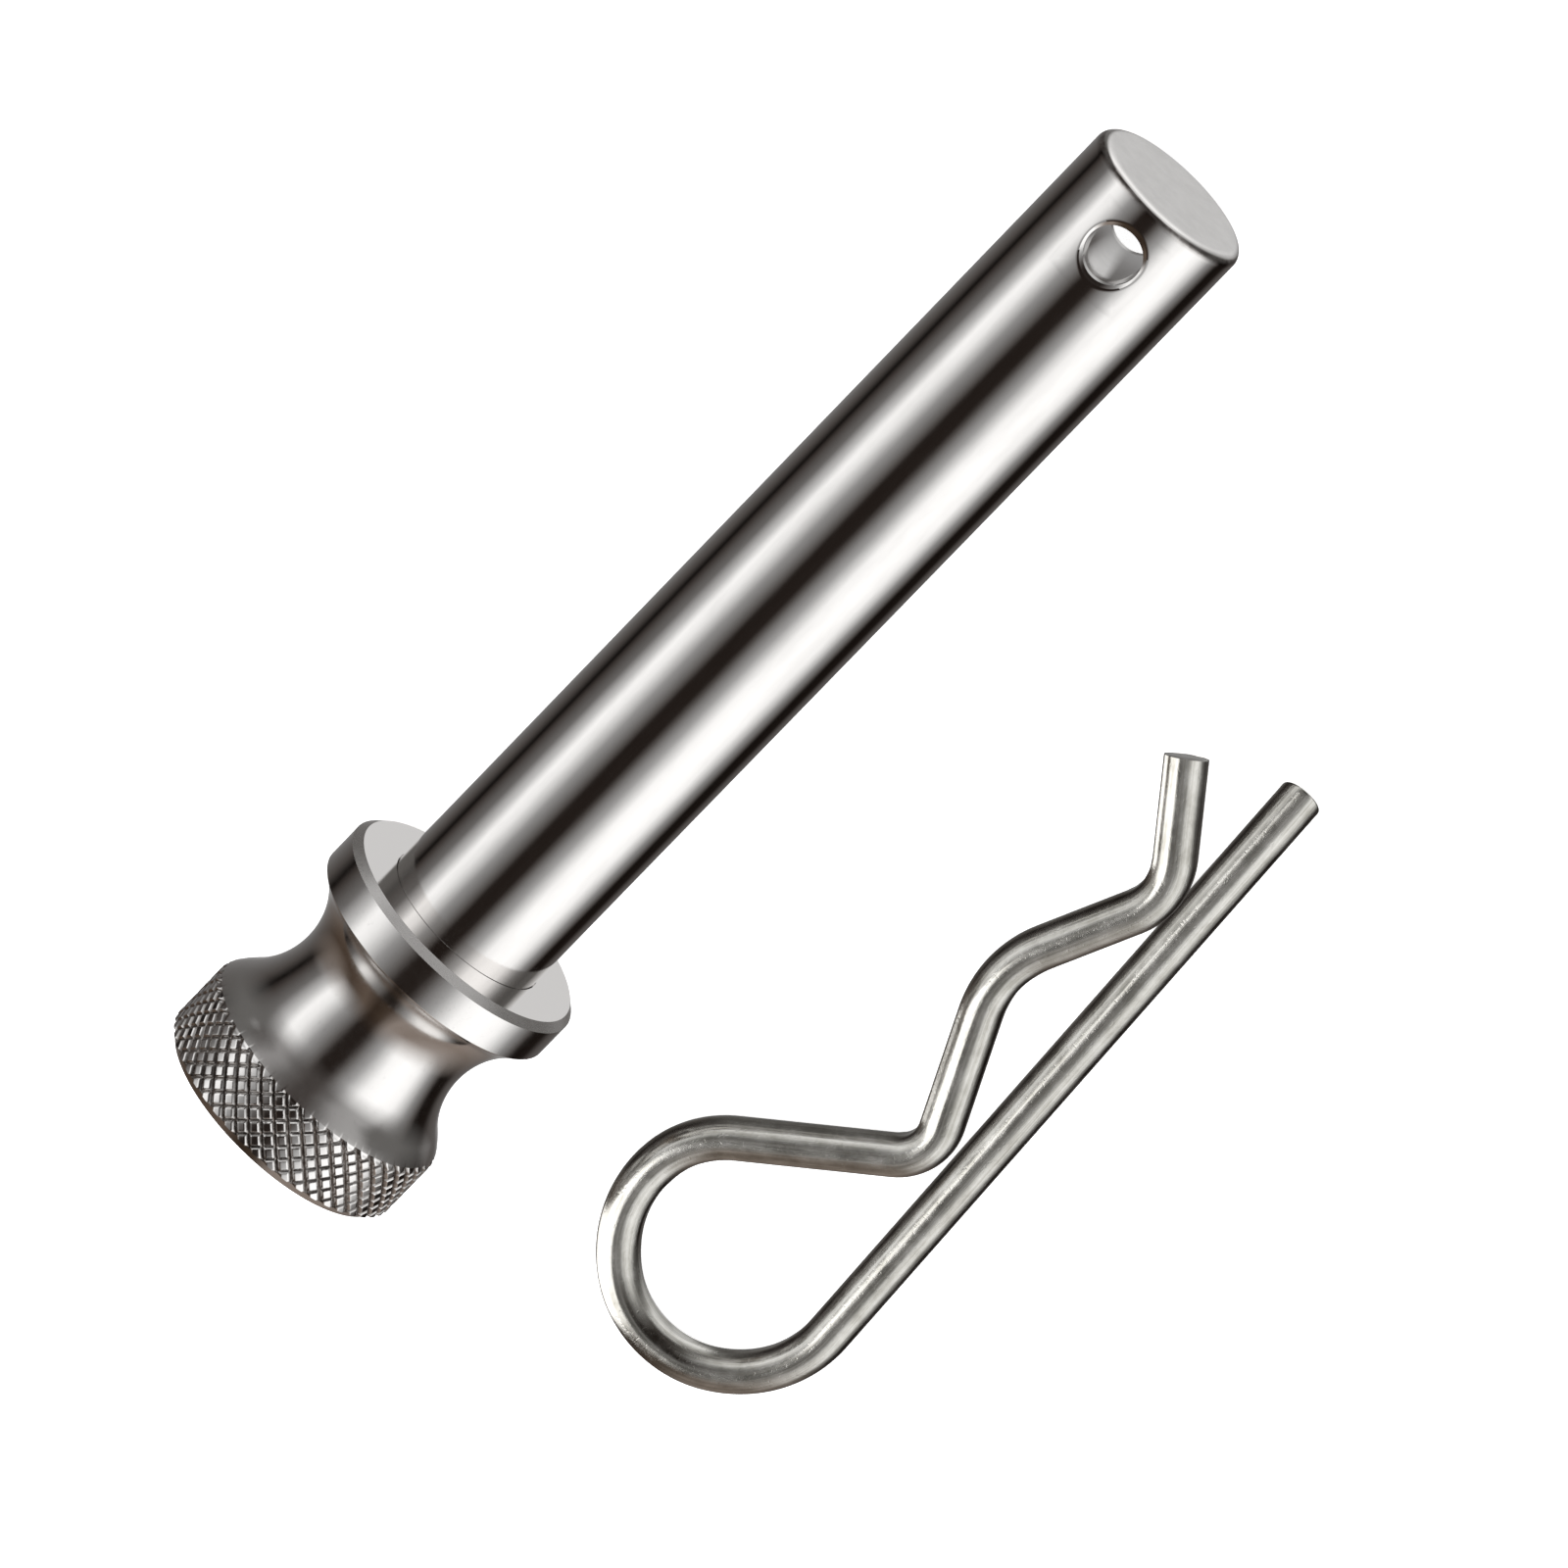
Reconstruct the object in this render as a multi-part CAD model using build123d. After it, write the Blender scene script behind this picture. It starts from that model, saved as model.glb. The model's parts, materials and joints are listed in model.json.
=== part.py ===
from build123d import *
import os
from math import atan2, cos, radians, sin, sqrt, tan

# Hitch pin with its R-clip, both lying on a surface at z = 0, the clip beside the pin.
# +X runs from the pin's head to its tip, +Z is up, and the origin is the middle of the footprint.
# All sizes are in millimetres.

# Where the two pieces lie
COLLAR_FACE_X = -32.9          # centre of the collar's front face
PIN_Y = 18.5                   # the pin's axis, seen from above
CLIP_BACK = (-51.3, -12.5)     # centre of the wire at the back of the clip's loop
CLIP_HEADING = -129.0          # direction of the wire there, towards the straight leg

# Shank: a 5/8 inch bar
SHANK_D = 15.875
SHANK_LENGTH = 91.4            # collar face to tip
TIP_ROUND = 1.1
HOLE_D = 5.2                   # cross hole for the clip
HOLE_TO_TIP = 5.5              # to the middle of the upper mouth
HOLE_LEAN = 2.7                # degrees off square, the upper mouth nearer the tip
COUNTERSINK_D = 6.4
SPIGOT_D = 10.0                # turned end that is pressed into the head
SPIGOT_LENGTH = 14.0
SPIGOT_RELIEF = 1.0            # gap past the spigot's end
SEAT_D = 15.5                  # shank end that sits in the collar, one step under the shank
SEAT_DEPTH = 2.0

# Head: one turned handle
HEAD_LENGTH = 25.2
COLLAR_D = 24.9
COLLAR_CHAMFER = 0.7
WAIST_D = 18.0
WAIST_BACK = 11.1              # collar face to the narrowest place
COVE_R = 8.8                   # radius of the hollow round the waist
COVE_END_BACK = 17.1           # collar face to where the hollow runs out into the rim
GRIP_D = 25.0                  # over the knurl
GRIP_START_BACK = 18.8         # collar face to the front of the knurled band
RIM_EDGE_D = 24.6
RIM_EDGE_BACK = 18.3
REAR_BEVEL = 0.8
SEAT_CLEARANCE = 0.02
SEAM_BREAK = 0.3               # broken edge of the seat, which shows as a fine ring

# Clip: one length of 5/32 inch spring wire, given as the runs and bends that make each leg.
# A bend is its radius at the wire's centre and its angle, anticlockwise seen from above.
WIRE_D = 3.97
LEG_RISE = 1.5                 # slope of the spring leg, whose foot rides on the straight leg's shoulder
BALL_CLEARANCE = 0.05
STRAIGHT_LEG = [("bend", 9.6, 70.8), ("bend", 11.6, 61.4), ("run", 66.3)]
SPRING_LEG = [
    ("bend", 12.1, -56.0),     # back of the loop
    ("bend", 10.0, -44.0),     # top of the loop
    ("run", 14.0),
    ("bend", 4.7, 73.0),       # valley, next to the straight leg
    ("run", 10.8),
    ("bend", 11.1, -46.3),     # hump that holds the shank
    ("run", 8.7),
    ("bend", 6.7, 58.3),       # foot, which rests against the straight leg
    ("run", 9.1),
]
STRAIGHT_END_CUT = 36.0        # slant of the sheared ends, in degrees
SPRING_END_CUT = 12.0
CUT_ALLOWANCE = 3.0            # wire beyond the end, removed by the slanted cut

shank_r = SHANK_D / 2
seat_r = SEAT_D / 2
collar_r = COLLAR_D / 2
grip_r = GRIP_D / 2
wire_r = WIRE_D / 2

# The pin rests on the collar's front edge and on the shoulder of the tip, so it leans tip down.
shoulder_x = SHANK_LENGTH - TIP_ROUND
tilt = atan2(collar_r - shank_r, shoulder_x + COLLAR_CHAMFER)
face_height = collar_r * cos(tilt) - COLLAR_CHAMFER * sin(tilt)
pin_frame = Plane(
    origin=(COLLAR_FACE_X, PIN_Y, face_height),
    x_dir=(sin(tilt), 0, cos(tilt)),
    z_dir=(cos(tilt), 0, -sin(tilt)),
)


def turned(outline):
    """A solid of revolution about local Z from a closed outline in the XZ plane."""
    return revolve(Plane.XZ * make_face(outline), Axis.Z)


def head():
    """Knurled grip, rounded rim, hollow waist and collar, with the seat for the shank."""
    cove_centre_r = WAIST_D / 2 + COVE_R
    collar_back = WAIST_BACK - sqrt(COVE_R**2 - (cove_centre_r - collar_r) ** 2)
    cove_end_r = cove_centre_r - sqrt(COVE_R**2 - (COVE_END_BACK - WAIST_BACK) ** 2)
    rear_r = grip_r - REAR_BEVEL
    front = Polyline(
        (0, -HEAD_LENGTH),
        (0, 0),
        (collar_r - COLLAR_CHAMFER, 0),
        (collar_r, -COLLAR_CHAMFER),
        (collar_r, -collar_back),
    )
    cove = ThreePointArc(
        (collar_r, -collar_back), (WAIST_D / 2, -WAIST_BACK), (cove_end_r, -COVE_END_BACK)
    )
    back = Polyline(
        (cove_end_r, -COVE_END_BACK),
        (RIM_EDGE_D / 2, -RIM_EDGE_BACK),
        (grip_r, -GRIP_START_BACK),
        (grip_r, REAR_BEVEL - HEAD_LENGTH),
        (rear_r, -HEAD_LENGTH),
        (0, -HEAD_LENGTH),
    )
    body = turned(front + cove + back)
    socket_r = seat_r + SEAT_CLEARANCE
    spigot_r = SPIGOT_D / 2 + SEAT_CLEARANCE
    socket_end = -SEAT_DEPTH - SPIGOT_LENGTH - SPIGOT_RELIEF
    seat = turned(
        Polyline(
            (0, 0),
            (socket_r + SEAM_BREAK, 0),
            (socket_r, -SEAM_BREAK),
            (socket_r, -SEAT_DEPTH),
            (spigot_r, -SEAT_DEPTH),
            (spigot_r, socket_end),
            (0, socket_end),
            close=True,
        )
    )
    return body - seat


def shank():
    """Bar with a spigot for the head, a rounded tip and the countersunk cross hole."""
    spigot_r = SPIGOT_D / 2
    spigot_end = -SEAT_DEPTH - SPIGOT_LENGTH
    start = Polyline(
        (0, SHANK_LENGTH),
        (0, spigot_end),
        (spigot_r, spigot_end),
        (spigot_r, -SEAT_DEPTH),
        (seat_r, -SEAT_DEPTH),
        (seat_r, 0),
        (shank_r, 0),
        (shank_r, shoulder_x),
    )
    nose = CenterArc((shank_r - TIP_ROUND, shoulder_x), TIP_ROUND, 0, 90)
    bar = turned(start + nose + Line((shank_r - TIP_ROUND, SHANK_LENGTH), (0, SHANK_LENGTH)))
    lean = radians(HOLE_LEAN)
    middle = SHANK_LENGTH - HOLE_TO_TIP - shank_r * tan(lean)
    hole_frame = Plane(origin=(0, 0, middle), x_dir=(0, 1, 0), z_dir=(cos(lean), 0, sin(lean)))
    hole = hole_frame.location * Cylinder(HOLE_D / 2, 2 * SHANK_D)
    flare = (COUNTERSINK_D - HOLE_D) / 2
    cone = Cone(HOLE_D / 2, HOLE_D / 2 + 2 * flare, 2 * flare)
    for side in (1, -1):
        mouth = Plane(
            origin=hole_frame.from_local_coords((0, 0, side * shank_r / cos(lean))),
            z_dir=hole_frame.z_dir * side,
        )
        hole += mouth.location * cone
    return bar - hole


def wire_path(heading, steps):
    """Centre line from the back of the loop at (0, 0), and its end's position and direction."""
    here = Vector(0, 0)
    edges = []
    for kind, size, *turn in steps:
        along = Vector(cos(radians(heading)), sin(radians(heading)))
        if kind == "run":
            edge = Line(here, here + along * size)
        else:
            edge = JernArc(here, along, size, turn[0])
            heading += turn[0]
        here = edge @ 1
        edges.append(edge)
    return Wire(edges), here, Vector(cos(radians(heading)), sin(radians(heading)))


def wire_leg(heading, steps, end_cut):
    """Half of the clip: the bent wire from the back of the loop to a slanted sheared end."""
    *bends, (kind, last_run) = steps
    path, _, _ = wire_path(heading, [*bends, (kind, last_run + CUT_ALLOWANCE)])
    _, end, along = wire_path(heading, steps)
    leg = sweep(Plane(origin=path @ 0, z_dir=path % 0) * Circle(wire_r), path=path)
    slant = along * cos(radians(end_cut)) - Vector(0, 0, sin(radians(end_cut)))
    return split(leg, bisect_by=Plane(origin=end, z_dir=slant), keep=Keep.BOTTOM)


def clip_legs():
    """Both legs. The wire is divided at the back of the loop, where it flexes, as a ball in a cup."""
    back = (*CLIP_BACK, wire_r)
    rise = radians(LEG_RISE)
    raised = Plane(origin=back, x_dir=(cos(rise), 0, sin(rise)), z_dir=(-sin(rise), 0, cos(rise)))
    straight = Pos(*back) * wire_leg(CLIP_HEADING, STRAIGHT_LEG, STRAIGHT_END_CUT)
    straight -= Pos(*back) * Sphere(wire_r + BALL_CLEARANCE)
    spring = raised.location * wire_leg(CLIP_HEADING + 180, SPRING_LEG, SPRING_END_CUT)
    spring += Pos(*back) * Sphere(wire_r)
    return straight, spring


straight_leg, spring_leg = clip_legs()
nodes = {
    "pin_head": pin_frame.location * head(),
    "pin_shank": pin_frame.location * shank(),
    "clip_straight_leg": straight_leg,
    "clip_spring_leg": spring_leg,
}

os.makedirs("parts", exist_ok=True)
for name, solid in nodes.items():
    export_step(solid, f"parts/{name}.step")
    box = solid.bounding_box()
    print(f"{name}: {solid.volume:.1f} mm3, {box.min} to {box.max}")
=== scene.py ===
"""Hitch pin and its R-clip: polished, knurled and drawn steel in a soft studio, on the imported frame."""
import json
from math import atan2, cos, exp, pi, radians, sin, sqrt, tan

import bpy
import numpy as np
from mathutils import Matrix, Vector


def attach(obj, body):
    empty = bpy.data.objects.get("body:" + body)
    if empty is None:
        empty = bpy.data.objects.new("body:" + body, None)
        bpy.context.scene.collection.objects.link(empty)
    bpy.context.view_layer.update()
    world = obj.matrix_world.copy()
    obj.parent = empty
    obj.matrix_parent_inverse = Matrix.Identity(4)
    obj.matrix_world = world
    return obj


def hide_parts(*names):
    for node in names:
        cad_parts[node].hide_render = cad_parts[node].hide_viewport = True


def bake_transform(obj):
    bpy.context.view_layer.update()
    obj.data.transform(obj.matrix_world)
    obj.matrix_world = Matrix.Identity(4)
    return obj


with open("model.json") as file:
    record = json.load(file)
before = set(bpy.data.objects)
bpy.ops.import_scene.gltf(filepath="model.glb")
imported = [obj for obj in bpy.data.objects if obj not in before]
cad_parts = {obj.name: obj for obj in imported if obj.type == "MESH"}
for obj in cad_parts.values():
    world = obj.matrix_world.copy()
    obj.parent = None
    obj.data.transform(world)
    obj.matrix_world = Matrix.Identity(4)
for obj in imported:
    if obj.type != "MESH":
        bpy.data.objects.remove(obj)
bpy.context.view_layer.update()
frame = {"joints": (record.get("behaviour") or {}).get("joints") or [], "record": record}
MOUNTS = {m["name"]: m for m in frame["record"]["mounts"]}
JOINTS = {j["name"]: j for j in frame["joints"]}
MM = 0.001

# ---------------------------------------------------------------- where things are
# The pin's own frame: local +Z runs from the collar's face to the tip, and local +X is up, square to the pin.
PIN_AXIS = Vector(MOUNTS["shank"]["axis"]).normalized()
HOLE_AXIS = Vector(MOUNTS["cross_hole"]["axis"]).normalized()
PIN_TOP = (HOLE_AXIS - PIN_AXIS * HOLE_AXIS.dot(PIN_AXIS)).normalized()
FACE_POINT = Vector(MOUNTS["collar_face"]["pos_m"])
SHANK_POINT = Vector(MOUNTS["shank"]["pos_m"])
HOLE_POINT = Vector(MOUNTS["cross_hole"]["pos_m"])
PIN_ORIGIN = SHANK_POINT + PIN_AXIS * (FACE_POINT - SHANK_POINT).dot(PIN_AXIS)
PIN_TURN = Matrix((PIN_TOP, PIN_AXIS.cross(PIN_TOP), PIN_AXIS)).transposed()
PIN_MATRIX = Matrix.Translation(PIN_ORIGIN) @ PIN_TURN.to_4x4()

# Sizes of the real pieces in millimetres, as in the CAD. "Back" is the distance back from the collar's face.
SHANK_R = MOUNTS["shank"]["dims"]["r_mm"]
SHANK_LENGTH = 91.4
TIP_ROUND = 1.1
HOLE_R = MOUNTS["cross_hole"]["dims"]["r_mm"]
HOLE_AT = (HOLE_POINT - PIN_ORIGIN).dot(PIN_AXIS) / MM
HOLE_SLOPE = HOLE_AXIS.dot(PIN_AXIS) / HOLE_AXIS.dot(PIN_TOP)

COLLAR_R = 12.45
COLLAR_CHAMFER = 0.7
WAIST_R = 9.0
WAIST_BACK = 11.1
COVE_R = 8.8
COVE_END_BACK = 17.1
RIM_EDGE_R = 12.3
RIM_EDGE_BACK = 18.3
GRIP_R = 12.5
GRIP_START_BACK = 18.8
GRIP_END_BACK = 24.4
HEAD_LENGTH = 25.2
REAR_R = 11.7
SEAT_R = 7.77

# Each leg of the clip from the back of its loop: runs by length, and bends by radius and by angle in degrees,
# anticlockwise seen from above.
CLIP_HEADING = -129.0          # direction of the wire there, towards the straight leg, in degrees
LEG_RISE = 1.5                 # slope of the spring leg, in degrees
STRAIGHT_LEG = [("bend", 9.6, 70.8), ("bend", 11.6, 61.4), ("run", 66.3)]
SPRING_LEG = [
    ("bend", 12.1, -56.0),
    ("bend", 10.0, -44.0),
    ("run", 14.0),
    ("bend", 4.7, 73.0),
    ("run", 10.8),
    ("bend", 11.1, -46.3),
    ("run", 8.7),
    ("bend", 6.7, 58.3),
    ("run", 9.1),
]
STRAIGHT_END_CUT = 36.0        # slant of the sheared ends, in degrees
SPRING_END_CUT = 12.0


# ---------------------------------------------------------------- mesh tools
class Skin:
    """One closed surface, built up ring by ring in millimetres.

    Each point keeps how deep it lies in a groove, in millimetres, which the materials paint as shade, or how
    dark a painted line is on that scale; and its finish, from LAPPED through 0 for polished to 1 for satin.
    """

    def __init__(self):
        self.points = []
        self.faces = []
        self.groove = []
        self.satin = []

    def ring(self, points, groove=0.0, satin=0.0):
        """Adds points and returns their numbers; groove may be one number or one per point."""
        first = len(self.points)
        self.points.extend(points)
        self.groove.extend(groove if hasattr(groove, "__len__") else [groove] * len(points))
        self.satin.extend([satin] * len(points))
        return list(range(first, len(self.points)))

    def bridge(self, a, b):
        for i in range(len(a)):
            j = (i + 1) % len(a)
            self.faces.append((a[i], a[j], b[j], b[i]))

    def cap(self, ring, centre, satin=0.0, forward=True):
        (tip,) = self.ring([centre], satin=satin)
        for i in range(len(ring)):
            j = (i + 1) % len(ring)
            self.faces.append((ring[i], ring[j], tip) if forward else (ring[j], ring[i], tip))

    def build(self, name, sharp, matrix=Matrix()):
        """The mesh in metres, placed by matrix, with edges over sharp degrees left unsmoothed.

        The attribute "place" keeps the skin's own millimetre coordinates for the materials.
        """
        mesh = bpy.data.meshes.new(name)
        mesh.from_pydata([matrix @ (Vector(p) * MM) for p in self.points], [], self.faces)
        mesh.shade_smooth()
        mesh.set_sharp_from_angle(angle=radians(sharp))
        for title, kind, key, data in (
            ("groove", "FLOAT", "value", self.groove),
            ("satin", "FLOAT", "value", self.satin),
            ("place", "FLOAT_VECTOR", "vector", [tuple(p) for p in self.points]),
        ):
            layer = mesh.attributes.new(title, kind, "POINT")
            layer.data.foreach_set(key, np.array(data, np.float32).ravel())
        piece = bpy.data.objects.new(name, mesh)
        bpy.context.scene.collection.objects.link(piece)
        return piece


def circle(radius, z, count):
    """Points round the local Z axis at one height; radius may be one number or one per point."""
    radii = radius if hasattr(radius, "__len__") else [radius] * count
    return [(r * cos(2 * pi * i / count), r * sin(2 * pi * i / count), z) for i, r in enumerate(radii)]


def smooth(x, low, high):
    """0 below low, 1 above high, and an S curve between them."""
    t = min(1.0, max(0.0, (x - low) / (high - low)))
    return t * t * (3 - 2 * t)


# ---------------------------------------------------------------- head
HEAD_SEGMENTS = 940
COVE_STEPS = 48
KNURL_ROWS = 72
KNURL_COUNT = 47               # grooves of each hand round the grip, at 45 degrees to its axis
KNURL_CUTS = ((-1, 0.46, 0.30), (1, 0.32, 0.24))   # hand, width as a share of the pitch, depth
LAPPED = -0.5                  # the finish of the collar's face, on the scale that Skin keeps
SEAM = 0.25                    # broken edge of the seat, which shows as a fine ring round the shank
SEAT_DEPTH = 1.9               # as far as the skins go into the seat
EDGE = 0.05                    # size of a broken edge

# Rings of the head as (back, radius). The chamfer starts and ends a hair off the face and the collar's side,
# so that their finishes meet in a crisp line.
CHAMFER_R = COLLAR_R - COLLAR_CHAMFER
FACE_PROFILE = [(SEAM, SEAT_R), (0.0, SEAT_R + SEAM), (0.0, 9.5), (0.0, CHAMFER_R)]
CHAMFER_PROFILE = [(0.02, CHAMFER_R + 0.02), (COLLAR_CHAMFER - 0.001, COLLAR_R - 0.001)]
RIM_PROFILE = [(RIM_EDGE_BACK - 0.6, RIM_EDGE_R - 0.43), (RIM_EDGE_BACK - 0.06, RIM_EDGE_R - 0.04)]
REAR_PROFILE = [
    (GRIP_END_BACK + 0.04, GRIP_R - 0.32),         # just below the last row's grooves
    (HEAD_LENGTH - EDGE, REAR_R + EDGE),
    (HEAD_LENGTH, REAR_R - 0.03),
    (HEAD_LENGTH, 8.0),
    (HEAD_LENGTH, 4.0),
    (HEAD_LENGTH, 0.8),
]


def side_profile():
    """(back, radius) of the rings from the collar's side over the cove to the rim's edge."""
    centre_r = WAIST_R + COVE_R
    collar_back = WAIST_BACK - sqrt(COVE_R**2 - (centre_r - COLLAR_R) ** 2)
    points = [(COLLAR_CHAMFER, COLLAR_R), (collar_back - EDGE, COLLAR_R), (collar_back, COLLAR_R - EDGE)]
    start = atan2(collar_back - WAIST_BACK, centre_r - COLLAR_R)
    end = atan2(COVE_END_BACK - WAIST_BACK, sqrt(COVE_R**2 - (COVE_END_BACK - WAIST_BACK) ** 2))
    for i in range(1, COVE_STEPS + 1):
        a = start + (end - start) * i / COVE_STEPS
        points.append((WAIST_BACK + COVE_R * sin(a), centre_r - COVE_R * cos(a)))
    return points + RIM_PROFILE


def knurl_depth(turn, back):
    """How deep the crossing grooves cut into the grip at a share of a turn and a distance back."""
    depth = 0.0
    for hand, width, deepest in KNURL_CUTS:
        phase = KNURL_COUNT * (turn + hand * back / (2 * pi * GRIP_R)) % 1.0
        off = abs(phase - 0.5)
        depth = max(depth, deepest * (1 - 2 * off / width))
    return depth


def knurl_rings(skin):
    """The knurled band, whose crests climb from the rim's edge to the full radius of the grip."""
    n = HEAD_SEGMENTS
    rings = []
    for row in range(KNURL_ROWS + 1):
        back = RIM_EDGE_BACK + (GRIP_END_BACK - RIM_EDGE_BACK) * row / KNURL_ROWS
        crest = GRIP_R - (GRIP_R - RIM_EDGE_R) * (1 - smooth(back, RIM_EDGE_BACK, GRIP_START_BACK))
        depths = [knurl_depth(i / n, back) for i in range(n)]
        rings.append(skin.ring(circle([crest - d for d in depths], -back, n), depths))
    return rings


def make_head():
    """The turned handle: collar, hollow waist, rim and knurled grip, with an open seat for the shank."""
    skin = Skin()
    n = HEAD_SEGMENTS
    rings = [skin.ring(circle(r, -back, n), satin=LAPPED) for back, r in FACE_PROFILE]
    rings += [skin.ring(circle(r, -back, n), satin=1.0) for back, r in CHAMFER_PROFILE]
    rings += [skin.ring(circle(r, -back, n)) for back, r in side_profile()]
    rings += knurl_rings(skin)
    rings += [skin.ring(circle(r, -back, n)) for back, r in REAR_PROFILE]
    for a, b in zip(rings, rings[1:]):
        skin.bridge(a, b)
    skin.cap(rings[-1], (0, 0, -HEAD_LENGTH))
    socket = skin.ring(circle(SEAT_R, -SEAT_DEPTH, n))
    skin.bridge(socket, rings[0])
    skin.cap(socket, (0, 0, -SEAT_DEPTH), forward=False)
    return skin.build("knurled_head", sharp=24, matrix=PIN_MATRIX)


# ---------------------------------------------------------------- shank
SHANK_SEGMENTS = 240
SEAT_GAP = 0.02                # between the shank and its seat in the head
NOSE_RINGS = 25
TIP_FACE_RADII = (5.0, 3.0, 1.0)
PATCH_CELLS = 19               # half the side of the square patch round each mouth, in cells
PATCH_SHARES = (0.35, 0.65, 0.85, 0.95, 1.0)       # rings from the patch's edge in to the countersink's
SINK_ALONG = 0.55              # width of the countersink along the shank and round it, and its depth
SINK_ROUND = 0.25
SINK_DEPTH = 0.24
SINK_MARGIN = 0.12             # between the countersink and the patch's inmost ring
SINK_STEPS = ((0.9, 0.02), (0.65, 0.09))           # share of the countersink's width, drop
TOOL_MARKS = 7                 # rings inside each mouth, which show as faint marks of the drill
TOOL_MARK_DEPTH = 0.025
TOOL_FEED = 0.16

# A painted dark line, in place of a dark reflection, runs round the tip's rounding, and the finish turns satin
# towards its face. Each rise and fall is given in shares of the rounding's length along the pin.
SHOULDER_PAINTED_DARK = 0.17          # at its darkest, on the scale of a groove's depth
PAINTED_LINE_RISE = (0.1, 0.6)
PAINTED_LINE_FALL = (0.66, 0.78)
SATIN_RISE = (0.8, 1.0)


def mouth_boundary():
    """The edge of the square patch round a mouth, point by point: (step along the pin, step round it)."""
    k = PATCH_CELLS
    out = [(k, j) for j in range(-k, k)]
    out += [(i, k) for i in range(k, -k, -1)]
    out += [(-k, j) for j in range(k, -k, -1)]
    out += [(i, -k) for i in range(-k, k)]
    return out


def wall_rows(skin, cell):
    """Rings past the cross hole, by their step from its middle, joined everywhere but in the two patches."""
    n, k = SHANK_SEGMENTS, PATCH_CELLS
    rows = {i: skin.ring(circle(SHANK_R, HOLE_AT + i * cell, n)) for i in range(-k, k + 1)}
    for i in range(-k, k):
        a, b = rows[i], rows[i + 1]
        for j in range(n):
            after_mouth = (j + 0.5) % (n / 2)
            if min(after_mouth, n / 2 - after_mouth) > k:
                m = (j + 1) % n
                skin.faces.append((a[j], a[m], b[m], b[j]))
    return rows


def root(skin, last):
    """From the cross hole's rows back to the collar, and the stub in the head's seat."""
    for z, radius in ((0.0, SHANK_R), (0.0, SEAT_R - SEAT_GAP), (-SEAT_DEPTH, SEAT_R - SEAT_GAP)):
        ring = skin.ring(circle(radius, z, SHANK_SEGMENTS))
        skin.bridge(ring, last)
        last = ring
    skin.cap(last, (0, 0, -SEAT_DEPTH), forward=False)


def nose(skin, last):
    """From the cross hole's rows over the rounded shoulder to the middle of the tip's face."""
    shoulder = SHANK_LENGTH - TIP_ROUND
    outline = []
    for a in np.linspace(0, pi / 2, NOSE_RINGS):
        outline.append((shoulder + TIP_ROUND * sin(a), SHANK_R - TIP_ROUND * (1 - cos(a))))
    outline += [(SHANK_LENGTH, radius) for radius in TIP_FACE_RADII]
    for z, radius in outline:
        turn = (z - shoulder) / TIP_ROUND
        # painted dark line round the rounding, in place of a dark reflection
        painted_dark = SHOULDER_PAINTED_DARK * smooth(turn, *PAINTED_LINE_RISE) * (1 - smooth(turn, *PAINTED_LINE_FALL))
        ring = skin.ring(circle(radius, z, SHANK_SEGMENTS), groove=painted_dark, satin=smooth(turn, *SATIN_RISE))
        skin.bridge(last, ring)
        last = ring
    skin.cap(last, (0, 0, SHANK_LENGTH), satin=1.0)


def bore_rings(skin, side, angles):
    """The first rings of the bore inside a mouth, every other one a tool mark."""
    rings = []
    for turn in range(TOOL_MARKS):
        rho = HOLE_R + (TOOL_MARK_DEPTH if turn % 2 else 0.0)
        points = []
        for a in angles:
            x = side * (sqrt(SHANK_R**2 - (HOLE_R * sin(a)) ** 2) - SINK_DEPTH - TOOL_FEED * turn)
            points.append((x, rho * sin(a), HOLE_AT + x * HOLE_SLOPE + rho * cos(a)))
        rings.append(skin.ring(points))
    return rings


def mouth(skin, side, bounds, spots):
    """From a patch's edge in over the soft countersink to the bore, whose first rings it returns."""
    centre = side * SHANK_R * HOLE_SLOPE
    angles = [atan2(v, u - centre) for u, v in spots]
    widths = [SINK_ROUND + (SINK_ALONG - SINK_ROUND) * cos(a) ** 2 for a in angles]

    def lie(u, v, drop=0.0):
        return (side * (sqrt(SHANK_R**2 - v * v) - drop), v, HOLE_AT + u)

    rings = [bounds]
    for share in PATCH_SHARES:
        points = []
        for (u, v), a, width in zip(spots, angles, widths):
            rho = HOLE_R + width + SINK_MARGIN
            along = u + (centre + rho * cos(a) - u) * share
            points.append(lie(along, v + (rho * sin(a) - v) * share))
        rings.append(skin.ring(points))
    for share, drop in SINK_STEPS:
        points = []
        for a, width in zip(angles, widths):
            rho = HOLE_R + width * share
            points.append(lie(centre + rho * cos(a), rho * sin(a), drop))
        rings.append(skin.ring(points))
    bore = bore_rings(skin, side, angles)
    rings.append(bore[0])
    for a, b in zip(rings, rings[1:]):
        if side == 1:
            skin.bridge(a, b)
        else:
            skin.bridge(b, a)
    return bore


def make_shank():
    """The bar: its wall, root and nose, and the cross hole from the top mouth down to the lower one."""
    skin = Skin()
    n, k = SHANK_SEGMENTS, PATCH_CELLS
    step = 2 * pi / n
    cell = SHANK_R * step
    rows = wall_rows(skin, cell)
    root(skin, rows[-k])
    nose(skin, rows[k])
    spots = [(i * cell, SHANK_R * sin(j * step)) for i, j in mouth_boundary()]
    bores = []
    for side in (1, -1):
        bounds = [rows[i][(j if side == 1 else n // 2 - j) % n] for i, j in mouth_boundary()]
        bores.append(mouth(skin, side, bounds, spots))
    bore = bores[0] + bores[1][::-1]
    for a, b in zip(bore, bore[1:]):
        skin.bridge(a, b)
    return skin.build("polished_shank", sharp=35, matrix=PIN_MATRIX)


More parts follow.
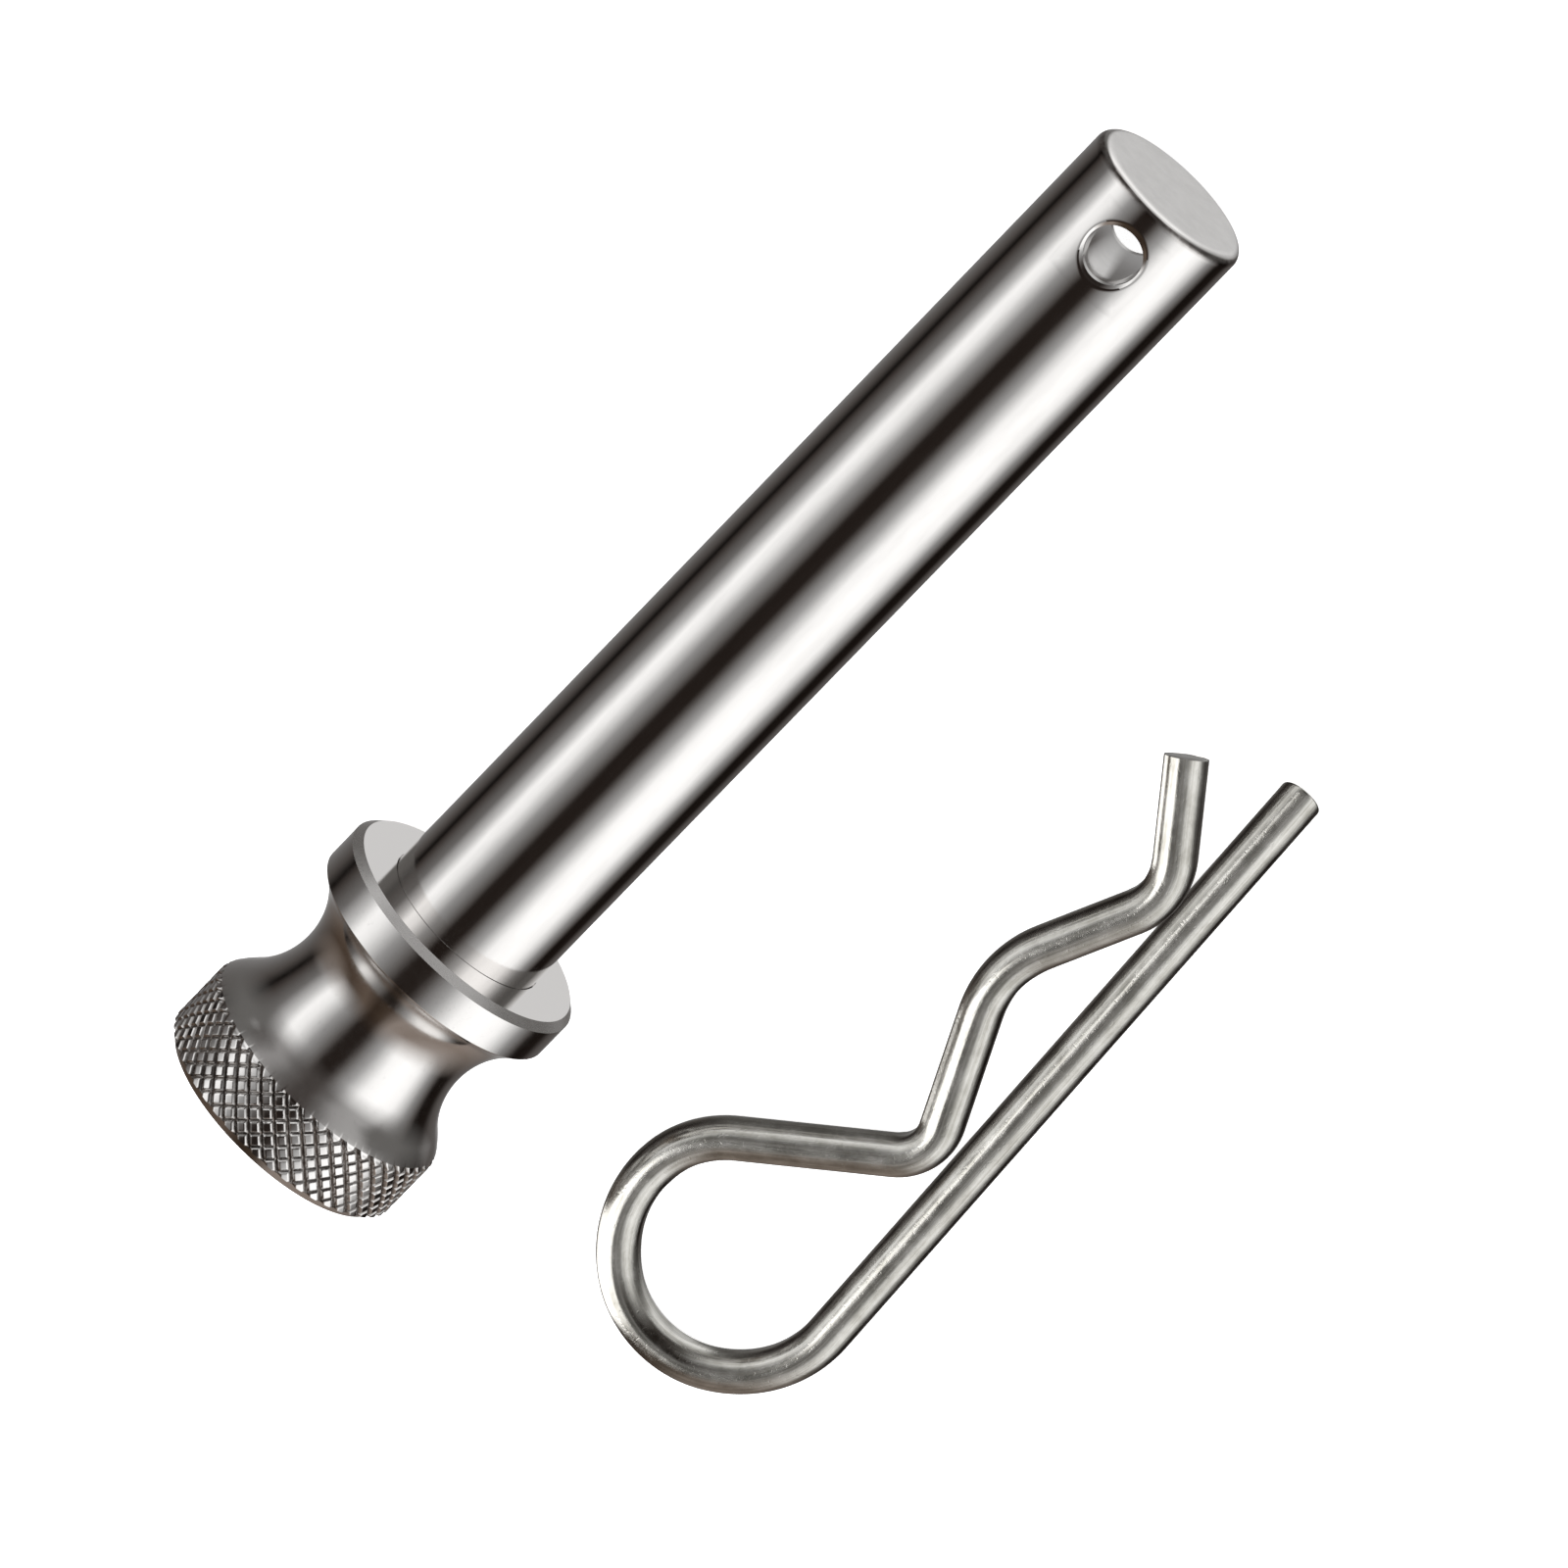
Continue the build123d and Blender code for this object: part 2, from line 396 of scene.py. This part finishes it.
# ---------------------------------------------------------------- clip
WIRE_R = 1.98                  # a hair inside the CAD's wire
WIRE_SEGMENTS = 48
WIRE_STEP = 0.35               # between rings along the wire
FEWEST_BEND_RINGS = 4
CUT_BLEND = 4.0                # length over which the rings lean into a slanted end
END_ROUND = 0.25
END_RINGS = 4
FLAT_PER_BEND = 1.15           # depth of the flat that the bending tool left inside a bend, and its limit
FLAT_LIMIT = 0.30


def leg_line(heading, steps):
    """Stations down one leg from the back of the loop: (position, direction, run so far, inner side, bend).

    The inner side of a bend is 1 for left and -1 for right. Bend grows from 0 at its ends to 1 / radius in
    its middle. Both are 0 on a run.
    """
    here = np.zeros(2)
    heading = radians(heading)
    travelled = 0.0
    out = []
    for kind, size, *turn in steps:
        if kind == "run":
            count = max(1, round(size / WIRE_STEP))
            way = np.array([cos(heading), sin(heading)])
            for i in range(count):
                spot = here + way * size * i / count
                out.append((spot, heading, travelled + size * i / count, 0.0, 0.0))
            here = here + way * size
            travelled += size
            continue
        angle = radians(turn[0])
        side = 1 if angle > 0 else -1
        centre = here + side * size * np.array([-sin(heading), cos(heading)])
        length = abs(angle) * size
        count = max(FEWEST_BEND_RINGS, round(length / WIRE_STEP))
        for i in range(count):
            a = heading + angle * i / count
            spot = centre - side * size * np.array([-sin(a), cos(a)])
            out.append((spot, a, travelled + length * i / count, side, sin(pi * i / count) / size))
        heading += angle
        here = centre - side * size * np.array([-sin(heading), cos(heading)])
        travelled += length
    out.append((here, heading, travelled, 0.0, 0.0))
    return out


def clip_stations():
    """Stations of the whole wire, with the rise of its leg added, starting at the straight leg's end."""
    rise = radians(LEG_RISE)
    stations = []
    for p, heading, run, side, bend in reversed(leg_line(CLIP_HEADING, STRAIGHT_LEG)):
        stations.append((Vector((p[0], p[1], 0)), heading + pi, -run, -side, bend, 0.0))
    for p, heading, run, side, bend in leg_line(CLIP_HEADING + 180, SPRING_LEG)[1:]:
        raised = Vector((p[0] * cos(rise), p[1], p[0] * sin(rise)))
        stations.append((raised, heading, run, side, bend, rise))
    return stations


def clip_plan():
    """Every ring of the wire: (station, how far inside the wire's surface, how far forward of the station).

    Both ends are rounded. The spring leg's rounding starts further back than its last full ring, which is
    left as a thin lip, like a shear's burr.
    """
    stations = clip_stations()
    angles = np.linspace(0, pi / 2, END_RINGS + 1)[1:]
    plan = [(stations[0], END_ROUND * (1 - cos(a)), -END_ROUND * sin(a)) for a in reversed(angles)]
    plan += [(station, 0.0, 0.0) for station in stations]
    plan += [(stations[-1], END_ROUND * (1 - cos(a)), END_ROUND * (sin(a) - 1)) for a in angles]
    return plan


def wire_ring(station, inset, forward, slant):
    """Points round the wire at a station, leaning forward by slant for each millimetre of height."""
    p, heading, _, side, bend, tilt = station
    way = Vector((cos(heading) * cos(tilt), sin(heading), cos(heading) * sin(tilt))).normalized()
    up = Vector((-sin(tilt), 0, cos(tilt)))
    left = up.cross(way).normalized()
    up = way.cross(left)
    flat = min(FLAT_LIMIT, FLAT_PER_BEND * bend)
    centre = Vector(JOINTS["clip_flex"]["pos_m"]) / MM + p
    points = []
    for i in range(WIRE_SEGMENTS):
        a = 2 * pi * i / WIRE_SEGMENTS
        r = WIRE_R - inset
        inward = cos(a) * side
        if inward > 0:
            r = min(r, (WIRE_R - flat) / inward)
        h = r * sin(a)
        points.append(centre + left * (r * cos(a)) + up * h + way * (forward + h * slant))
    return points


def make_clip():
    """The wire as one skin, and how far along it from the back of the loop each of its points lies."""
    skin = Skin()
    plan = clip_plan()
    first, last = plan[0][0][2], plan[-1][0][2]
    rings = []
    grain = []                 # the streaks' own coordinates: round the wire on a unit circle, and along it
    for station, inset, forward in plan:
        run = station[2]
        near_first = 1 - smooth(run, first, first + CUT_BLEND)
        near_last = smooth(run, last - CUT_BLEND, last)
        slant = near_last * tan(radians(SPRING_END_CUT)) - near_first * tan(radians(STRAIGHT_END_CUT))
        rings.append(skin.ring(wire_ring(station, inset, forward, slant)))
        grain += circle(1.0, run + forward, WIRE_SEGMENTS)
    for a, b in zip(rings, rings[1:]):
        skin.bridge(a, b)
    for ring, forward in ((rings[0], False), (rings[-1], True)):
        centre = sum((Vector(skin.points[i]) for i in ring), Vector()) / len(ring)
        skin.cap(ring, centre, forward=forward)
        grain.append(grain[ring[0]])
    piece = skin.build("spring_wire_clip", sharp=50)
    layer = piece.data.attributes.new("grain", "FLOAT_VECTOR", "POINT")
    layer.data.foreach_set("vector", np.array(grain, np.float32).ravel())
    return piece, np.array([run for _, _, run in grain])


# ---------------------------------------------------------------- material tools
def nodes_of(name):
    material = bpy.data.materials.new(name)
    material.use_nodes = True
    tree = material.node_tree
    return material, tree, tree.nodes["Principled BSDF"]


def add(tree, kind, **settings):
    """A new node; each setting is one of its properties, or else one of its inputs."""
    node = tree.nodes.new(kind)
    for key, value in settings.items():
        if hasattr(node, key):
            setattr(node, key, value)
        else:
            node.inputs[key].default_value = value
    return node


def feed(tree, socket, value):
    """Links another node's output to an input, or gives the input a plain value."""
    if isinstance(value, bpy.types.NodeSocket):
        tree.links.new(value, socket)
    else:
        socket.default_value = value


def scaled_noise(tree, source, scale, detail=3.0):
    """Noise over coordinates stretched by scale."""
    mapping = add(tree, "ShaderNodeMapping", Scale=scale)
    tree.links.new(source, mapping.inputs["Vector"])
    noise = add(tree, "ShaderNodeTexNoise", Scale=1.0, Detail=detail, Roughness=0.6)
    tree.links.new(mapping.outputs["Vector"], noise.inputs["Vector"])
    return noise.outputs["Fac"]


def remap(tree, source, low, high, to_low, to_high):
    node = add(tree, "ShaderNodeMapRange")
    for socket, value in (("From Min", low), ("From Max", high), ("To Min", to_low), ("To Max", to_high)):
        node.inputs[socket].default_value = value
    tree.links.new(source, node.inputs["Value"])
    return node.outputs["Result"]


def bump(tree, height, strength, distance, normal=None):
    node = add(tree, "ShaderNodeBump", Strength=strength, Distance=distance)
    tree.links.new(height, node.inputs["Height"])
    if normal:
        tree.links.new(normal, node.inputs["Normal"])
    return node.outputs["Normal"]


def calc(tree, operation, *values):
    node = add(tree, "ShaderNodeMath", operation=operation)
    for socket, value in zip(node.inputs, values):
        feed(tree, socket, value)
    return node.outputs[0]


def attribute(tree, name, output="Fac"):
    return add(tree, "ShaderNodeAttribute", attribute_name=name).outputs[output]


def turned_place(tree):
    """A turned piece's own coordinates in millimetres, and the same without the angle: (radius, 0, z)."""
    place = attribute(tree, "place", "Vector")
    parts = add(tree, "ShaderNodeSeparateXYZ")
    tree.links.new(place, parts.inputs["Vector"])
    x, y, z = parts.outputs
    square = calc(tree, "ADD", calc(tree, "MULTIPLY", x, x), calc(tree, "MULTIPLY", y, y))
    radius = calc(tree, "SQRT", square)
    joined = add(tree, "ShaderNodeCombineXYZ")
    tree.links.new(radius, joined.inputs["X"])
    tree.links.new(z, joined.inputs["Z"])
    return place, joined.outputs["Vector"]


def two_tone(tree, factor, low, dark, high, light):
    """A colour that goes from dark to light as factor goes from low to high."""
    ramp = add(tree, "ShaderNodeValToRGB")
    for element, position, colour in zip(ramp.color_ramp.elements, (low, high), (dark, light)):
        element.position = position
        element.color = (*colour, 1)
    tree.links.new(factor, ramp.inputs["Fac"])
    return ramp.outputs["Color"]


def blend_colour(tree, factor, first, second):
    """From the first colour to the second. A Mix node's inputs 6 and 7 and its output 2 are its colours."""
    node = add(tree, "ShaderNodeMix", data_type="RGBA")
    tree.links.new(factor, node.inputs["Factor"])
    feed(tree, node.inputs[6], first)
    feed(tree, node.inputs[7], second)
    return node.outputs[2]


# ---------------------------------------------------------------- materials
STEEL_BRIGHT = (0.80, 0.785, 0.77)
STEEL_DULL = (0.75, 0.735, 0.72)
STEEL_LAPPED = (0.85, 0.83, 0.815)
# painted shade for the knurl's grooves and for the dark line round the shank's tip
STEEL_PAINTED_SHADE = (0.13, 0.105, 0.09)
WIRE_BRIGHT = (0.64, 0.63, 0.595)
WIRE_DULL = (0.36, 0.35, 0.315)
FINE_RELIEF = 0.00001          # height of the finest bumps, in metres


def polished_steel():
    """Ground and polished bar; its end face keeps the fine rings of the facing cut."""
    material, tree, shader = nodes_of("polished_steel")
    shader.inputs["Metallic"].default_value = 1.0
    place, turned = turned_place(tree)
    satin = attribute(tree, "satin")
    cloud = scaled_noise(tree, place, (0.5, 0.5, 0.12), detail=4)
    clean = two_tone(tree, cloud, 0.35, STEEL_DULL, 0.6, STEEL_BRIGHT)
    streaky = remap(tree, scaled_noise(tree, place, (0.8, 0.8, 1.5), detail=4), 0.35, 0.65, 2.5, 5.5)
    # Painted shade: the painted dark line round the tip's rounding, streaked, darkens the colour.
    painted_dark = calc(tree, "MULTIPLY", attribute(tree, "groove"), streaky)
    tree.links.new(blend_colour(tree, painted_dark, clean, (*STEEL_PAINTED_SHADE, 1)), shader.inputs["Base Color"])
    wear = remap(tree, scaled_noise(tree, place, (3, 3, 0.4), detail=5), 0.3, 0.7, 0.07, 0.12)
    rough = calc(tree, "ADD", wear, calc(tree, "MULTIPLY", satin, 0.12))
    tree.links.new(rough, shader.inputs["Roughness"])
    grain = bump(tree, scaled_noise(tree, place, (14, 14, 9)), 0.10, FINE_RELIEF)
    rings = scaled_noise(tree, turned, (7, 1, 7), detail=4)
    rings = calc(tree, "MULTIPLY", rings, calc(tree, "ADD", calc(tree, "MULTIPLY", satin, 2.0), 0.25))
    tree.links.new(bump(tree, rings, 0.5, FINE_RELIEF, grain), shader.inputs["Normal"])
    return material


def turned_steel():
    """Turned and polished handle; painted shade darkens the knurl's grooves, which are rough from the rolling.
    """
    material, tree, shader = nodes_of("turned_steel")
    shader.inputs["Metallic"].default_value = 1.0
    place, turned = turned_place(tree)
    groove = attribute(tree, "groove")
    satin = attribute(tree, "satin")
    blotch = remap(tree, scaled_noise(tree, place, (2.5, 2.5, 2.5)), 0.3, 0.7, -0.05, 0.05)
    # Painted shade: the deeper a knurl groove, the darker its colour.
    plain = two_tone(tree, calc(tree, "ADD", groove, blotch), 0.03, STEEL_BRIGHT, 0.27, STEEL_PAINTED_SHADE)
    lapped = remap(tree, satin, LAPPED, 0.0, 1.0, 0.0)
    tree.links.new(blend_colour(tree, lapped, plain, (*STEEL_LAPPED, 1)), shader.inputs["Base Color"])
    wear = remap(tree, scaled_noise(tree, place, (1.5, 1.5, 1.5), detail=5), 0.3, 0.7, 0.09, 0.15)
    finish = calc(tree, "ADD", calc(tree, "MULTIPLY", satin, 0.16), calc(tree, "MULTIPLY", groove, 0.6))
    tree.links.new(calc(tree, "ADD", wear, finish), shader.inputs["Roughness"])
    grain = bump(tree, scaled_noise(tree, place, (9, 9, 9), detail=4), 0.2, FINE_RELIEF)
    rings = scaled_noise(tree, turned, (9, 1, 9))
    tree.links.new(bump(tree, rings, 0.2, FINE_RELIEF, grain), shader.inputs["Normal"])
    return material


def spring_wire():
    """Drawn wire: satin, with fine streaks along it, dull patches and small pits."""
    material, tree, shader = nodes_of("spring_wire")
    shader.inputs["Metallic"].default_value = 1.0
    grain = attribute(tree, "grain", "Vector")
    streaks = scaled_noise(tree, grain, (5, 5, 0.05), detail=4)
    patches = scaled_noise(tree, grain, (1.2, 1.2, 0.35), detail=5)
    pits = scaled_noise(tree, grain, (6, 6, 3), detail=2)
    shade = calc(tree, "ADD", calc(tree, "MULTIPLY", streaks, 0.5), calc(tree, "MULTIPLY", patches, 0.5))
    tree.links.new(two_tone(tree, shade, 0.38, WIRE_DULL, 0.6, WIRE_BRIGHT), shader.inputs["Base Color"])
    tree.links.new(remap(tree, patches, 0.35, 0.7, 0.14, 0.26), shader.inputs["Roughness"])
    dents = bump(tree, remap(tree, pits, 0.25, 0.42, 0.0, 1.0), 0.35, 2 * FINE_RELIEF)
    tree.links.new(bump(tree, streaks, 0.35, 3 * FINE_RELIEF, dents), shader.inputs["Normal"])
    return material


# ---------------------------------------------------------------- studio
# The studio is what the steel mirrors. Going round the pin from straight down on its far side, over the top,
# to straight down on the near side, it is two long soft boxes with a dark gap between them:
# (degrees from straight up, brightness).
STUDIO_ROUND = [
    (-180, 0.45),
    (-164, 0.21),
    (-128, 0.084),
    (-113, 0.003),
    (-104, 0.058),
    (-84, 0.17),
    (-68, 0.65),
    (-58, 1.20),
    (-48, 1.04),
    (-30, 0.34),
    (-13, 0.095),
    (-8, 0.018),
    (8, 0.020),
    (13, 0.085),
    (30, 0.43),
    (48, 1.20),
    (66, 1.35),
    (84, 1.20),
    (104, 0.285),
    (115, 0.09),
    (120, 0.008),
    (136, 0.012),
    (148, 0.09),
    (164, 0.12),
    (180, 0.45),
]
# Beyond the tip, from straight down to straight up: (height, brightness). A bright low wall under a dark
# upper half.
STUDIO_FRONT = [
    (-1.0, 0.66),
    (-0.7, 0.80),
    (-0.2, 1.20),
    (0.1, 0.80),
    (0.30, 0.72),
    (0.38, 0.07),
    (1.0, 0.10),
]
# Behind the head, from the near side to the far side: (across, brightness). Dark in the middle, bright at
# both sides.
STUDIO_BEHIND = [
    (-1.0, 1.00),
    (-0.78, 0.42),
    (-0.45, 0.26),
    (-0.25, 0.30),
    (-0.09, 0.06),
    (0.07, 0.035),
    (0.25, 0.13),
    (0.5, 0.07),
    (0.8, 0.28),
    (1.0, 1.00),
]
FRONT_WINGS = (0.15, 0.145, 0.14, 1)               # the two ends of the wall beyond the tip
BACKDROP = (0.93, 0.93, 0.93, 1)

# Where one part of the studio gives way to the next, as a share of the direction: (begins, complete).
FRONT_FROM = (0.25, 0.60)      # forward, and sooner the lower it is, by FRONT_LEAN
FRONT_LEAN = 0.35
BEHIND_FROM = (-0.45, -0.80)
NEAR_WING_FROM = (0.25, 0.65)  # to the near side
FAR_WING_FROM = (-0.10, 0.12)  # further to the far side than forward
ABOVE_FROM = (0.0, 0.15)       # upwards, where the front covers the soft boxes only in part
FRONT_ABOVE = 0.78
FRONT_SINK = 0.5               # how far the front's shades sink towards its sides


# How the studio's greys turn brown towards black: (how far up the greys, green lost, blue lost).
DARKS_WARM = (0.08, 0.33, 0.48)
RUSTY = (0.35, 0.38, 0.62)     # for the wall behind the head, where even the mid greys are brown


def browned(level, reach, green_loss, blue_loss):
    """The colour of a grey of this brightness: the darker it is, the browner."""
    warm = exp(-level / reach)
    return (level, level * (1 - green_loss * warm), level * (1 - blue_loss * warm), 1)


def shade_ramp(tree, factor, steps, tint):
    """Greys at the given steps of factor, browned by tint; factor runs from the first step to the last."""
    low, high = steps[0][0], steps[-1][0]
    ramp = add(tree, "ShaderNodeValToRGB")
    elements = ramp.color_ramp.elements
    while len(elements) < len(steps):
        elements.new(0.5)
    for element, (at, level) in zip(elements, steps):
        element.position = (at - low) / (high - low)
    for element, (at, level) in zip(elements, steps):
        element.color = browned(level, *tint)
    tree.links.new(remap(tree, factor, low, high, 0.0, 1.0), ramp.inputs["Fac"])
    return ramp.outputs["Color"]


def make_world():
    """The studio round the pieces for what the steel mirrors, and a plain pale backdrop for the camera."""
    world = bpy.data.worlds.new("studio")
    bpy.context.scene.world = world
    world.use_nodes = True
    tree = world.node_tree
    coords = add(tree, "ShaderNodeTexCoord")
    parts = add(tree, "ShaderNodeSeparateXYZ")
    tree.links.new(coords.outputs["Generated"], parts.inputs["Vector"])
    x, y, z = parts.outputs
    near_side = calc(tree, "MULTIPLY", y, -1.0)

    turn = calc(tree, "MULTIPLY", calc(tree, "ARCTAN2", near_side, z), 180 / pi)
    round_the_pin = shade_ramp(tree, turn, STUDIO_ROUND, DARKS_WARM)

    sideways = calc(tree, "ABSOLUTE", y)
    height = calc(tree, "ADD", z, calc(tree, "MULTIPLY", sideways, FRONT_SINK))
    front = shade_ramp(tree, height, STUDIO_FRONT, DARKS_WARM)
    near_wing = remap(tree, near_side, *NEAR_WING_FROM, 0.0, 1.0)
    far_wing = remap(tree, calc(tree, "SUBTRACT", y, x), *FAR_WING_FROM, 0.0, 1.0)
    front = blend_colour(tree, calc(tree, "MAXIMUM", near_wing, far_wing), front, FRONT_WINGS)

    behind = shade_ramp(tree, y, STUDIO_BEHIND, RUSTY)

    lean = calc(tree, "MULTIPLY", z, FRONT_LEAN)
    forward = remap(tree, calc(tree, "SUBTRACT", x, lean), *FRONT_FROM, 0.0, 1.0)
    forward = calc(tree, "MULTIPLY", forward, remap(tree, z, *ABOVE_FROM, 1.0, FRONT_ABOVE))
    backward = remap(tree, x, *BEHIND_FROM, 0.0, 1.0)
    colour = blend_colour(tree, forward, round_the_pin, front)
    colour = blend_colour(tree, backward, colour, behind)
    seen = add(tree, "ShaderNodeLightPath").outputs["Is Camera Ray"]
    tree.links.new(blend_colour(tree, seen, colour, BACKDROP), tree.nodes["Background"].inputs["Color"])


FLOOR_HALF = 3.0
FLOOR_COLOUR = (0.93, 0.93, 0.93, 1)
FLOOR_GLOW = 0.75


def make_floor():
    """A pale floor that glows and is left out of the reflections, so the steel mirrors only the studio."""
    mesh = bpy.data.meshes.new("floor")
    s = FLOOR_HALF
    mesh.from_pydata([(-s, -s, 0), (s, -s, 0), (s, s, 0), (-s, s, 0)], [], [(0, 1, 2, 3)])
    floor = bpy.data.objects.new("floor", mesh)
    bpy.context.scene.collection.objects.link(floor)
    material, _, shader = nodes_of("pale_floor")
    shader.inputs["Base Color"].default_value = FLOOR_COLOUR
    shader.inputs["Roughness"].default_value = 0.9
    shader.inputs["Specular IOR Level"].default_value = 0.0
    shader.inputs["Emission Color"].default_value = (1, 1, 1, 1)
    shader.inputs["Emission Strength"].default_value = FLOOR_GLOW
    mesh.materials.append(material)
    floor.visible_glossy = False


# Soft boxes that only the wire sees: (direction from the clip, width in metres, height, brightness).
CLIP_BOXES = {
    "clip_side": ((-0.84, 0.41, 0.22), 0.50, 1.70, 1.8),
    "clip_fill": ((-0.375, 0.0, 0.927), 0.60, 0.60, 0.16),
}
CLIP_CENTRE = Vector((-0.02, -0.02, 0.0))
BOX_DISTANCE = 0.8
BOX_POWER = 4                  # watts per square metre of box for each unit of brightness
OVERHEAD_HEIGHT = 1.6
OVERHEAD_SIZE = 1.1
OVERHEAD_POWER = 30.0


def make_lamp(name, place, aim, width, height, energy):
    light = bpy.data.lights.new(name, "AREA")
    light.shape = "RECTANGLE"
    light.size = width
    light.size_y = height
    light.energy = energy
    lamp = bpy.data.objects.new(name, light)
    turn = (place - aim).to_track_quat("Z", "Y").to_matrix().to_4x4()
    lamp.matrix_world = Matrix.Translation(place) @ turn
    lamp.visible_camera = False
    bpy.context.scene.collection.objects.link(lamp)
    return lamp


def make_lights(clip):
    """A soft light overhead, and the wire's own boxes, because the photo's pin and clip look lit apart.

    The boxes cast no shadows: the side one reaches below the floor, which is left out of the reflections and
    mustn't shade it either.
    """
    above = Vector((0, 0, OVERHEAD_HEIGHT))
    overhead = make_lamp("overhead", above, Vector(), OVERHEAD_SIZE, OVERHEAD_SIZE, OVERHEAD_POWER)
    overhead.visible_glossy = False
    lit = bpy.data.collections.new("wire_only")
    lit.objects.link(clip)
    for name, (direction, width, height, brightness) in CLIP_BOXES.items():
        place = CLIP_CENTRE + Vector(direction) * BOX_DISTANCE
        energy = brightness * BOX_POWER * width * height
        lamp = make_lamp(name, place, CLIP_CENTRE, width, height, energy)
        lamp.data.use_shadow = False
        lamp.light_linking.receiver_collection = lit


# ---------------------------------------------------------------- camera
# Fitted to the outlines of both pieces in the photo. Distance is in metres, angles are in degrees, and the lens
# and sensor are in millimetres.
TARGET = Vector((-8.27, 7.10, 0.0)) * MM
DISTANCE = 1.4183
ELEVATION = 67.96
AZIMUTH = 1.23
ROLL = 137.03
LENS = 377.0
SENSOR = 36.0


def make_camera():
    e, a = radians(ELEVATION), radians(AZIMUTH)
    back = Vector((cos(e) * cos(a), cos(e) * sin(a), sin(e)))
    data = bpy.data.cameras.new("camera")
    data.lens = LENS
    data.sensor_width = SENSOR
    camera = bpy.data.objects.new("camera", data)
    level = (-back).to_track_quat("-Z", "Y").to_matrix().to_4x4()
    roll = Matrix.Rotation(-radians(ROLL), 4, "Z")
    camera.matrix_world = Matrix.Translation(TARGET + back * DISTANCE) @ level @ roll
    bpy.context.scene.collection.objects.link(camera)
    bpy.context.scene.camera = camera


# ---------------------------------------------------------------- putting it together
def dress(piece, material):
    piece.data.materials.append(material)


head = make_head()
dress(head, turned_steel())
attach(head, "pin")
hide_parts("pin_head")

shank = make_shank()
dress(shank, polished_steel())
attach(shank, "pin")
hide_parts("pin_shank")

clip, run = make_clip()
dress(clip, spring_wire())
clip.visible_glossy = False    # the photo's pin doesn't mirror the clip
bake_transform(clip)
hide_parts("clip_straight_leg", "clip_spring_leg")

make_world()
make_floor()
make_lights(clip)
make_camera()
bpy.context.scene.view_settings.view_transform = "Standard"
